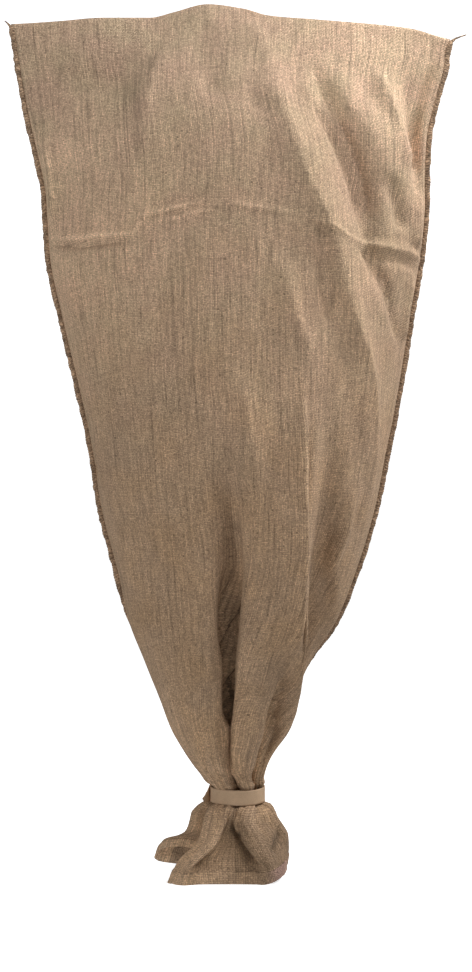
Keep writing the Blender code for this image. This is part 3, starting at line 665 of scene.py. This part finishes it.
def strip(name, grid, distance, material):
    """A closed strip from rows of points round it. Its places are turns round it and metres along it."""
    rows, count = grid.shape[:2]
    faces = bands([row * count for row in range(rows)], count).tolist()
    here = np.arange(count)
    u = np.array([here, here, here + 1, here + 1]).T / count
    v = np.stack([distance[:-1], distance[1:], distance[1:], distance[:-1]], axis=1)
    uv = np.stack(np.broadcast_arrays(u[None], v[:, None]), axis=3).reshape(-1, 2)
    last = (rows - 1) * count
    faces += [list(range(count))[::-1], list(range(last, last + count))]
    ends = np.concatenate([np.full((count, 2), distance[0]), np.full((count, 2), distance[-1])])
    return new_object(name, grid.reshape(-1, 3), faces, material, np.concatenate([uv, ends]))


def path_lengths(path):
    return np.concatenate([[0], np.cumsum(np.linalg.norm(np.diff(path, axis=0), axis=1))])


def resampled(distance, values, at):
    """Values along a path, looked up at other distances along it."""
    values = np.asarray(values, float)
    if values.ndim == 1:
        return np.interp(at, distance, values)
    return np.stack([np.interp(at, distance, values[:, k]) for k in range(values.shape[1])], axis=1)


def drawn_along(at, every, low, high):
    """Random values at even distances along a seam, with straight lines between them."""
    knots = np.arange(0, LONGER_THAN_SEAM, every)
    return np.interp(at, knots, RANDOM.uniform(low, high, len(knots)))


def make_seam(name, cloth, falls, index, tail, material):
    """The overlocked ridge over one side edge of the cloth, wrapped in thread, with its tail."""
    rows = [row for row, fall in enumerate(falls) if SEAM_STARTS <= fall <= SEAM_ENDS]
    outward = unit(cloth[rows, index] * (1, 1, 0))
    kept = 1 - SEAM_PRESSED * rise(falls[rows], SEAM_PRESSED_FROM, SEAM_PRESSED_BY)
    path = cloth[rows, index] + outward * (SEAM_WIDTH / 2 * kept[:, None] + SEAM_GAP - SEAM_OVERLAP)
    away = np.sign(path[0, 0])
    loose = [path[0] + (away * point.reach, 0, point.rise) for point in tail]
    faces_way = np.cross((0, 0, 1), outward)
    faces_way = np.concatenate([np.tile(faces_way[0], (len(loose), 1)), faces_way])
    half_width = np.concatenate([column(tail, "half_width"), SEAM_WIDTH / 2 * kept + SEAM_OVERLAP])
    half_thickness = np.concatenate([column(tail, "half_thickness"), SEAM_THICKNESS / 2 * kept])
    path = np.concatenate([loose, path])
    distance = path_lengths(path)
    at = np.arange(0, distance[-1], WRAP_PITCH / WRAP_ROWS)
    path, faces_way = resampled(distance, path, at), resampled(distance, faces_way, at)
    half_width, half_thickness = resampled(distance, half_width, at), resampled(distance, half_thickness, at)
    uneven = drawn_along(at, WRAP_SIZE_EVERY, *WRAP_SIZE)
    drift = drawn_along(at, WRAP_DRIFT_EVERY, -WRAP_DRIFT, WRAP_DRIFT)
    angle = steps_round(SEAM_SIDES)
    phase = 2 * np.pi * ((at / WRAP_PITCH + drift)[:, None] + WRAP_SLANT * np.sin(angle)[None])
    size = uneven[:, None] * (1 - WRAP_DEPTH * (0.5 - 0.5 * np.cos(phase)))
    profile = np.stack([np.cos(angle) * size, np.sin(angle) * size], axis=2)
    return strip(name, sweep(path, faces_way, half_width, half_thickness, profile), at, material)


Fuzz = namedtuple("Fuzz", "name count falls across bend length")
FUZZ = in_metres(Fuzz, "falls across length", (
    ("centre valley", 7, (1150, 1200), (-14, 6), 0.6, 14),
    ("top fold", 16, (0, 4), (-360, 330), 0.9, 5),
    ("left seam", 16, (50, 1100), (-374, -371), 0.9, 6),
    ("right seam", 16, (50, 1100), (371, 374), 0.9, 6),
    ("hem", 14, (1472, 1475), (-370, 370), 0.9, 6),
    ("front", 26, (100, 1050), (-340, 340), 0.6, 6),
))
FIBRE = 0.00034  # a loose fibre's half thickness
FIBRE_ROOT = 0.0006  # how deep it starts in the cloth
FIBRE_THICK = 1.15  # at its root, and 1 less at its tip
FIBRE_SPREAD = 0.9
FIBRE_LENGTHS = (0.6, 1.5)  # as shares of the stated length
FIBRE_ASIDE = (0.3, 0.5, 0.8)  # any way that the fibres don't run
FIBRE_SIDES = 4
FIBRE_RINGS = 6
FRAYED = 16  # threads at the ribbon's end
FRAYED_WAY = np.array((-0.9, -0.3, -0.5))
FRAYED_SPREAD = 0.5
FRAYED_BEND = 0.5
FRAYED_LENGTHS = (0.003, 0.0065)
FRAYED_BACK = 0.003  # how far in they start
FRAYED_UP = 0.0035  # and how far up or down


def fibre_starts(cloth, falls, tie_end):
    """Where each loose fibre starts, the way it leaves, how long it is and how far it bends."""
    out = normals(cloth)
    starts = []
    for fuzz in FUZZ:
        for _ in range(fuzz.count):
            row = np.argmin(abs(falls - RANDOM.uniform(*fuzz.falls)))
            place = round((RANDOM.uniform(*fuzz.across) / FLAT_WIDTH + 0.5) * HALF_COLUMNS)
            way = out[row, place] + RANDOM.uniform(-1, 1, 3) * FIBRE_SPREAD
            length = fuzz.length * RANDOM.uniform(*FIBRE_LENGTHS)
            starts.append((cloth[row, place] - out[row, place] * FIBRE_ROOT, way, length, fuzz.bend))
    for _ in range(FRAYED):
        way = FRAYED_WAY + RANDOM.uniform(-1, 1, 3) * FRAYED_SPREAD
        start = tie_end + (RANDOM.uniform(0, FRAYED_BACK), 0, RANDOM.uniform(-FRAYED_UP, FRAYED_UP))
        starts.append((start, way, RANDOM.uniform(*FRAYED_LENGTHS), FRAYED_BEND))
    return starts


def make_fibres(starts, material):
    """Loose jute fibres that stand off the cloth and the ribbon's frayed end, each a thin bent rod."""
    turn = steps_round(FIBRE_SIDES)
    rod = bands([FIBRE_SIDES * k for k in range(FIBRE_RINGS)], FIBRE_SIDES)
    root = np.arange(FIBRE_SIDES)
    tip = FIBRE_SIDES * FIBRE_RINGS - 1 - root
    points, faces = [], []
    for start, way, length, bend in starts:
        way = unit(way)
        curl = RANDOM.uniform(-1, 1, 3) * bend
        t = np.linspace(0, 1, FIBRE_RINGS)[:, None]
        path = start + length * (way * t + curl * t * t)
        path[:, 2] = np.maximum(path[:, 2], TOP - HEM_FALL + FIBRE)
        side = unit(np.cross(way, FIBRE_ASIDE))
        other = np.cross(way, side)
        ring_points = np.cos(turn)[:, None] * side + np.sin(turn)[:, None] * other
        first = len(points)
        points.extend((path[:, None] + FIBRE * (FIBRE_THICK - t[:, None]) * ring_points).reshape(-1, 3))
        faces += (rod + first).tolist() + [(root + first).tolist(), (tip + first).tolist()]
    return new_object("loose_fibres", points, faces, material)


def make_ribbon(material):
    """The ribbon, once round the neck and over its own start, with its free end standing out at the left."""
    turn = np.radians(np.linspace(TIE_START, TIE_START + 360 + TIE_OVERLAP, RIBBON_TURN_POINTS))
    climb = rise(np.degrees(turn) - TIE_START, TIE_LIFTS_FROM, 360)
    reach = NECK_RADIUS + 2 * GAP + RIBBON_THICKNESS / 2 + climb * (RIBBON_THICKNESS + GAP)
    level = np.full(len(turn), TOP - TIE_FALL)
    path = np.stack([-reach * np.cos(turn), -reach * np.sin(turn), level], axis=1)
    end = path[-1] + [point[:3] for point in TIE_END]
    width = np.concatenate([np.ones(len(path)), column(TIE_END, "width")])
    path = np.concatenate([path, end])
    distance = path_lengths(path)
    at = np.linspace(0, distance[-1], RIBBON_ROWS)
    path, width = resampled(distance, path, at), resampled(distance, width, at)
    path[:, 2] += sum(height * np.sin(at * pace + start) for height, pace, start in RIBBON_WAVES)
    out = unit(np.gradient(path, axis=0)[:, [1, 0, 2]] * (1, -1, 0))
    face = np.column_stack([np.linspace(1, -1, RIBBON_ACROSS), np.ones(RIBBON_ACROSS)])
    profile = np.tile(np.concatenate([face, -face]), (len(at), 1, 1))
    grid = sweep(path, out, width * RIBBON_WIDTH / 2, np.full(len(at), RIBBON_THICKNESS / 2), profile)
    return strip("ribbon_tie", grid, at, material)


# Materials
class Nodes:
    """Short calls that add nodes to one material."""

    def __init__(self, name):
        self.material = bpy.data.materials.new(name)
        self.material.use_nodes = True
        self.tree = self.material.node_tree
        self.surface = self.tree.nodes["Principled BSDF"]

    def feed(self, socket, value):
        if isinstance(value, bpy.types.NodeSocket):
            self.tree.links.new(value, socket)
        else:
            socket.default_value = value

    def add(self, kind, settings=(), values=(), **inputs):
        """A node with its settings, and its inputs in order or by name."""
        node = self.tree.nodes.new(kind)
        for key, value in dict(settings).items():
            setattr(node, key, value)
        for socket, value in zip(node.inputs, values):
            self.feed(socket, value)
        for key, value in inputs.items():
            self.feed(node.inputs[key.replace("_", " ")], value)
        return node

    def on_cloth(self):
        return self.add("ShaderNodeUVMap", {"uv_map": "cloth"}).outputs[0]

    def in_space(self):
        return self.add("ShaderNodeTexCoord").outputs["Object"]

    def parts(self, vector):
        return self.add("ShaderNodeSeparateXYZ", Vector=vector).outputs[:3]

    def math(self, operation, *values):
        return self.add("ShaderNodeMath", {"operation": operation}, values).outputs[0]

    def plus(self, first, second):
        return self.math("ADD", first, second)

    def minus(self, first, second):
        return self.math("SUBTRACT", first, second)

    def times(self, product, *factors):
        for factor in factors:
            product = self.math("MULTIPLY", product, factor)
        return product

    def moved(self, value, noise, reach):
        """The value, moved by up to half the reach either way."""
        return self.plus(value, self.times(self.minus(noise, 0.5), reach))

    def ramp(self, value, low, high, start=0.0, end=1.0):
        """From low at the start to high at the end, level outside these."""
        return self.add("ShaderNodeMapRange", values=(value, start, end, low, high)).outputs[0]

    def share(self, value, none, full):
        """From 0 where the value is at none to 1 where it is at full."""
        return self.ramp(value, 0.0, 1.0, none, full)

    def stretch(self, value, start, full, fades, end):
        """1 between full and fades, 0 before the start and after the end."""
        return self.times(self.share(value, start, full), self.share(value, end, fades))

    def noise(self, vector, scale, detail=2.0, output="Fac"):
        return self.add("ShaderNodeTexNoise", Vector=vector, Scale=scale, Detail=detail).outputs[output]

    def vector(self, x, y, z=0.0):
        return self.add("ShaderNodeCombineXYZ", X=x, Y=y, Z=z).outputs[0]

    def shade(self, colour, amount):
        """The colour times an amount."""
        return self.add("ShaderNodeVectorMath", {"operation": "SCALE"}, (colour,), Scale=amount).outputs[0]

    def blend(self, amount, low, high):
        node = self.add("ShaderNodeMix", {"data_type": "RGBA"}, (amount,))
        self.feed(node.inputs[6], low)
        self.feed(node.inputs[7], high)
        return node.outputs[2]

    def dress(self, colour, rough, specular, height=None, strength=0.0, distance=0.0):
        """The material with its colour and shine, and with raised detail where a height is given."""
        self.feed(self.surface.inputs["Base Color"], colour)
        self.surface.inputs["Roughness"].default_value = rough
        self.surface.inputs["Specular IOR Level"].default_value = specular
        if height is not None:
            bump = self.add("ShaderNodeBump", Height=height, Strength=strength, Distance=distance)
            self.feed(self.surface.inputs["Normal"], bump.outputs[0])
        return self.material


YARN = 0.0027  # from one yarn to the next
STITCHES = HEM_FALL - HEM_BAND + 0.0006
STITCH_WIDTH = 0.0022
STITCH_EVERY = 4  # yarns
STITCH_SHARE = 0.7  # of which it covers this much
# Where the cloth is gathered, most yarns hide in the folds. From each of these falls on, the yarns that show
# are this many yarns further apart.
YARNS_HIDE = ((1.16, 1.0), (1.285, 2.0), (1.370, -2.0))
# The cloth's colours at its top, paler and greyer as painted light, and lower down
TOP_JUTE_PAINTED_LIGHT = ((0.496, 0.338, 0.234, 1), (0.474, 0.350, 0.230, 1))
WARM_JUTE = ((0.485, 0.327, 0.206, 1), (0.498, 0.325, 0.190, 1))
ROSY_JUTE = (0.560, 0.350, 0.290, 1)
THREAD = (0.430, 0.292, 0.190)
LOOSE_FIBRE = (0.700, 0.560, 0.420)
TAPE = (0.560, 0.388, 0.248)
PAPER = (0.92, 0.92, 0.92)
TAPE_RIB = 0.0011


def burlap():
    """Plain-woven jute: uneven yarns each way, slubs, specks, slow changes of colour, and painted light and
    shade, such as its paler top.
    """
    n = Nodes("burlap")
    uv, place = n.on_cloth(), n.in_space()
    across, down, _ = n.parts(uv)
    wander = n.parts(n.noise(uv, 28.0, output="Color"))
    bent_across, bent_down = n.moved(across, wander[0], 0.004), n.moved(down, wander[1], 0.006)
    level = n.moved(down, wander[2], 0.12)
    shown = 1.0
    for fall, more in YARNS_HIDE:
        shown = n.plus(shown, n.times(n.math("GREATER_THAN", level, fall), more))
    warp = n.math("DIVIDE", bent_across, n.times(shown, YARN))
    weft = n.math("DIVIDE", bent_down, YARN)
    warp_number, weft_number = n.math("FLOOR", warp), n.math("FLOOR", weft)
    warp_part, weft_part = n.math("FRACT", warp), n.math("FRACT", weft)
    over = n.math("FLOORED_MODULO", n.plus(warp_number, weft_number), 2.0)
    warp_up = n.times(n.math("SINE", n.times(warp_part, np.pi)), n.ramp(over, 0.40, 1.0))
    weft_up = n.times(n.math("SINE", n.times(weft_part, np.pi)), n.ramp(over, 1.0, 0.40))
    weave = n.math("MAXIMUM", warp_up, weft_up)

    # Yarns are darker and lighter along their length, and cross in flecks
    warp_line = n.vector(n.times(warp_number, 0.731), n.times(bent_down, 15.0))
    weft_line = n.vector(n.times(bent_across, 22.0), n.times(weft_number, 0.677))
    warp_tone, weft_tone = n.noise(warp_line, 1.0, 3.0), n.noise(weft_line, 1.0, 3.0)
    cell = n.vector(warp_number, weft_number)
    fleck = n.parts(n.add("ShaderNodeTexWhiteNoise", {"noise_dimensions": "2D"}, Vector=cell).outputs["Color"])
    grain = n.noise(place, 520.0)
    streak = n.vector(n.times(bent_across, 330.0), n.times(bent_down, 13.0), 7.3)
    long_streak = n.vector(n.times(bent_across, 210.0), n.times(down, 2.6), 3.1)
    tones = (  # a value, how light it leaves the cloth at its start and its end, and the two
        (weave, 0.56, 1.12),
        (warp_tone, 0.78, 1.18, 0.28, 0.68),
        (n.minus(warp_part, weft_part), 0.84, 1.16, -0.8, 0.8),
        (weft_tone, 0.93, 1.07, 0.3, 0.7),
        (fleck[0], 0.84, 1.16),
        (grain, 0.68, 1.36, 0.3, 0.7),
        (fleck[1], 0.55, 1.0, 0.0, 0.012),
        (n.noise(streak, 1.0), 0.68, 1.0, 0.27, 0.40),
        (n.noise(long_streak, 1.0, 1.0), 0.80, 1.02, 0.28, 0.42),
        (n.noise(uv, 7.0), 0.95, 1.05, 0.3, 0.7),
        # lighter at the top and darker at the bottom, as painted light
        (down, 1.03, 0.97, 0.0, 0.9),
    )
    amount = n.times(*(n.ramp(*tone) for tone in tones))

    # Painted light and shade: paler at the top right, on the upper left, above the tie, on the skirt's left and
    # at the hem, darker on the skirt's right, paler on the fold marks and darker in deep valleys
    from_seam = n.math("ABSOLUTE", n.minus(across, FLAT_WIDTH / 2))
    # Painted light: paler at the top right, where the light from the upper right falls
    painted_light_top_right = n.times(n.share(from_seam, 0.33, 0.10), n.share(down, 0.34, 0.08))
    # Paler along the fold marks, as wear and a painted highlight, and darker in deep valleys, as painted shade
    worn = n.add("ShaderNodeAttribute", {"attribute_name": "worn"}).outputs["Fac"]
    # Painted light: paler on the upper left, in place of fill light from the left
    painted_light_upper_left = n.times(n.share(across, 0.04, -0.30), n.stretch(down, 0.12, 0.24, 0.42, 0.70))
    # Painted light: paler just above the tie, where the lobes shade one another
    painted_light_above_tie = n.stretch(down, 1.16, 1.24, 1.31, 1.34)
    in_skirt = n.share(down, 1.355, 1.40)
    # Painted light and shade on the skirt: paler on its left, lit from the front left, darker on its right under
    # the sack's overhang
    skirt_painted_light_and_shade = n.ramp(across, 0.22, -0.26, -0.12, 0.06)
    hem = n.math("GREATER_THAN", down, HEM_FALL - HEM_BAND)
    from_stitches = n.math("ABSOLUTE", n.minus(down, STITCHES))
    each_stitch = n.math("LESS_THAN", n.math("FRACT", n.times(warp, 1 / STITCH_EVERY)), STITCH_SHARE)
    stitch = n.times(n.math("LESS_THAN", from_stitches, STITCH_WIDTH / 2), each_stitch)
    for zone, paler in (
        (painted_light_top_right, 0.46),
        (worn, 0.26),
        (painted_light_upper_left, 0.26),
        (painted_light_above_tie, 0.16),
        (in_skirt, skirt_painted_light_and_shade),
        # painted light: the hem band is paler, as it catches light
        (hem, 0.12),
        (stitch, -0.35),
    ):
        amount = n.times(amount, n.plus(1.0, n.times(zone, paler)))
    # From the pale top colours, painted light, to the warmer ones lower down
    pale = n.blend(n.share(n.noise(uv, 12.0), 0.35, 0.65), *TOP_JUTE_PAINTED_LIGHT)
    warm = n.blend(n.share(n.noise(uv, 11.0), 0.4, 0.7), *WARM_JUTE)
    colour = n.blend(n.share(down, 0.1, 0.95), pale, warm)
    rosy = n.times(hem, n.stretch(across, 0.10, 0.15, 0.20, 0.27), 0.8)
    colour = n.blend(rosy, colour, ROSY_JUTE)
    height = n.plus(weave, n.plus(warp_tone, n.times(grain, 1.3)))
    n.surface.inputs["Sheen Weight"].default_value = 0.04
    return n.dress(n.shade(colour, amount), 0.92, 0.2, height, 0.8, 0.0010)


def thread():
    """Jute thread wrapped round the seams, dark between its turns."""
    n = Nodes("overlock_thread")
    place = n.in_space()
    round_it, along, _ = n.parts(n.on_cloth())
    bent = n.plus(along, n.times(n.noise(place, 90.0), 0.016))
    around = n.math("SINE", n.times(round_it, 2 * np.pi))
    turn = n.plus(n.math("DIVIDE", bent, WRAP_PITCH), n.times(around, WRAP_SLANT))
    ridge = n.math("COSINE", n.times(turn, 2 * np.pi))
    tone = n.noise(place, 300.0, 3.0)
    amount = n.times(
        n.ramp(ridge, 0.62, 1.12, -1.0, 1.0),
        n.ramp(tone, 0.62, 1.40, 0.3, 0.7),
        n.ramp(n.noise(place, 75.0), 0.72, 1.28, 0.35, 0.65),
    )
    return n.dress(n.shade(THREAD, amount), 0.9, 0.2, n.plus(ridge, tone), 0.8, 0.0008)


def fibre():
    """Single jute fibres, paler than the yarns they come from."""
    n = Nodes("jute_fibre")
    amount = n.ramp(n.noise(n.in_space(), 120.0), 0.7, 1.2, 0.3, 0.7)
    return n.dress(n.shade(LOOSE_FIBRE, amount), 0.9, 0.2)


def ribbon():
    """Closely woven cotton tape: fine ribs across it and slow changes of colour."""
    n = Nodes("ribbon_tape")
    place = n.in_space()
    rib = n.math("SINE", n.times(n.parts(place)[2], 2 * np.pi / TAPE_RIB))
    fine = n.noise(place, 900.0)
    amount = n.times(
        n.ramp(rib, 0.94, 1.03, -1.0, 1.0),
        n.ramp(fine, 0.90, 1.10, 0.3, 0.7),
        n.ramp(n.noise(place, 45.0, 3.0), 0.92, 1.08, 0.3, 0.7),
    )
    return n.dress(n.shade(TAPE, amount), 0.8, 0.3, n.plus(rib, fine), 0.4, 0.0003)


def pale():
    """The matt white of the floor and its wall, brighter far from the sack."""
    n = Nodes("pale_paper")
    place = n.in_space()
    n.surface.inputs["Emission Color"].default_value = (1, 1, 1, 1)
    far = n.add("ShaderNodeVectorMath", {"operation": "LENGTH"}, Vector=place).outputs["Value"]
    n.feed(n.surface.inputs["Emission Strength"], n.ramp(far, 0.80, 0.98, 1.5, 4.5))
    return n.dress(n.shade(PAPER, n.ramp(n.noise(place, 60.0), 0.995, 1.005)), 1.0, 0.0)


# The floor, light and camera
FLOOR_SIDES = 64
FLOOR_FLAT = 9.0  # how far out the floor stays flat
FLOOR_RIM = 0.2
WALL_CURVE = 3.0
CURVE_RINGS = 13
WALL_HEIGHT = 12.0
FLOOR_GAP = 0.0005  # under the hem


def make_stage(level):
    """A pale round floor that curves up into a wall all round, far outside the sack."""
    turn = np.linspace(0, np.pi / 2, CURVE_RINGS)
    curve = FLOOR_FLAT + WALL_CURVE * np.sin(turn)
    reach = np.concatenate([[FLOOR_FLAT - FLOOR_RIM], curve, [FLOOR_FLAT + WALL_CURVE]])
    height = np.concatenate([[0.0], WALL_CURVE - WALL_CURVE * np.cos(turn), [WALL_HEIGHT]]) + level
    points = [(r * np.cos(a), r * np.sin(a), z) for r, z in zip(reach, height) for a in steps_round(FLOOR_SIDES)]
    faces = bands([FLOOR_SIDES * k for k in range(len(reach))], FLOOR_SIDES).tolist()
    faces.append(list(range(FLOOR_SIDES)))
    floor = new_object("floor", points, faces, pale())
    floor.visible_diffuse = False  # the world's light stands in for what the floor throws back
    floor.visible_glossy = False


Lamp = namedtuple("Lamp", "name place aim size power")
LAMPS = (
    Lamp("key", (1.4, -1.2, 1.0), (0.2, 0, -0.1), 0.7, 20),
    Lamp("top", (0.2, -1.0, 2.2), (0, 0, -0.3), 1.0, 11),
    Lamp("side", (1.85, 0.15, 1.35), (0.1, 0, -0.1), 0.8, 68),
    Lamp("fill", (-2.4, -2.0, 0.5), (0, 0, -0.7), 1.5, 32),
)
FLOOR_LIGHT = 0.66
SKY_LIGHT = 0.08
HORIZON = 0.1  # the light changes over this much below and above level
CAMERA = (-0.00255, -2.8, -0.8144)
LENS = 61.0


def make_lights():
    """Four area lamps, and a world that is bright below the horizon and dim above it."""
    for lamp in LAMPS:
        data = bpy.data.lights.new(lamp.name, "AREA")
        data.size = lamp.size
        data.energy = lamp.power
        made = put_in(lamp.name, data)
        made.location = lamp.place
        made.rotation_euler = (Vector(lamp.aim) - Vector(lamp.place)).to_track_quat("-Z", "Y").to_euler()
    world = bpy.data.worlds.new("studio")
    bpy.context.scene.world = world
    world.use_nodes = True
    tree = world.node_tree
    way = tree.nodes.new("ShaderNodeTexCoord")
    split = tree.nodes.new("ShaderNodeSeparateXYZ")
    level = tree.nodes.new("ShaderNodeMapRange")
    tree.links.new(way.outputs["Generated"], split.inputs[0])
    tree.links.new(split.outputs[2], level.inputs[0])
    for socket, value in zip(level.inputs[1:5], (-HORIZON, HORIZON, FLOOR_LIGHT, SKY_LIGHT)):
        socket.default_value = value
    tree.links.new(level.outputs[0], tree.nodes["Background"].inputs[1])
    tree.nodes["Background"].inputs[0].default_value = (1, 1, 1, 1)


def make_camera():
    """Level with the middle of the picture and 2.8 m in front of the trunk's axis."""
    data = bpy.data.cameras.new("camera")
    data.sensor_fit = "VERTICAL"
    data.sensor_height = 36
    data.lens = LENS
    camera = put_in("camera", data)
    camera.location = CAMERA
    camera.rotation_euler = (np.pi / 2, 0, 0)
    bpy.context.scene.camera = camera


row_falls = cloth_falls()
cloth_grid = np.array([ring(fall) for fall in row_falls])
cloth_grid, painted_light_and_wear_places = refine(cloth_grid, row_falls)
thread_material = thread()
sack = make_sack(cloth_grid, row_falls, painted_light_and_wear_places, burlap())
left = make_seam("seam_left_overlock", cloth_grid, row_falls, 0, LEFT_TAIL, thread_material)
right = make_seam("seam_right_overlock", cloth_grid, row_falls, HALF_COLUMNS, RIGHT_TAIL, thread_material)
tie = make_ribbon(ribbon())
tie_tip = np.mean([corner.co for corner in tie.data.vertices[-2 * RIBBON_ACROSS:]], axis=0)
fibres = make_fibres(fibre_starts(cloth_grid, row_falls, tie_tip), fibre())

for piece, node, slot in (
    (sack, "sack", "burlap"),
    (left, "seam_left", "overlock"),
    (right, "seam_right", "overlock"),
    (tie, "tie_band", "ribbon"),
):
    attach(piece, "root")
    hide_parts(node)
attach(fibres, "root")

make_stage(TOP - HEM_FALL - FLOOR_GAP)
make_lights()
make_camera()
bpy.context.scene.view_settings.view_transform = "Standard"
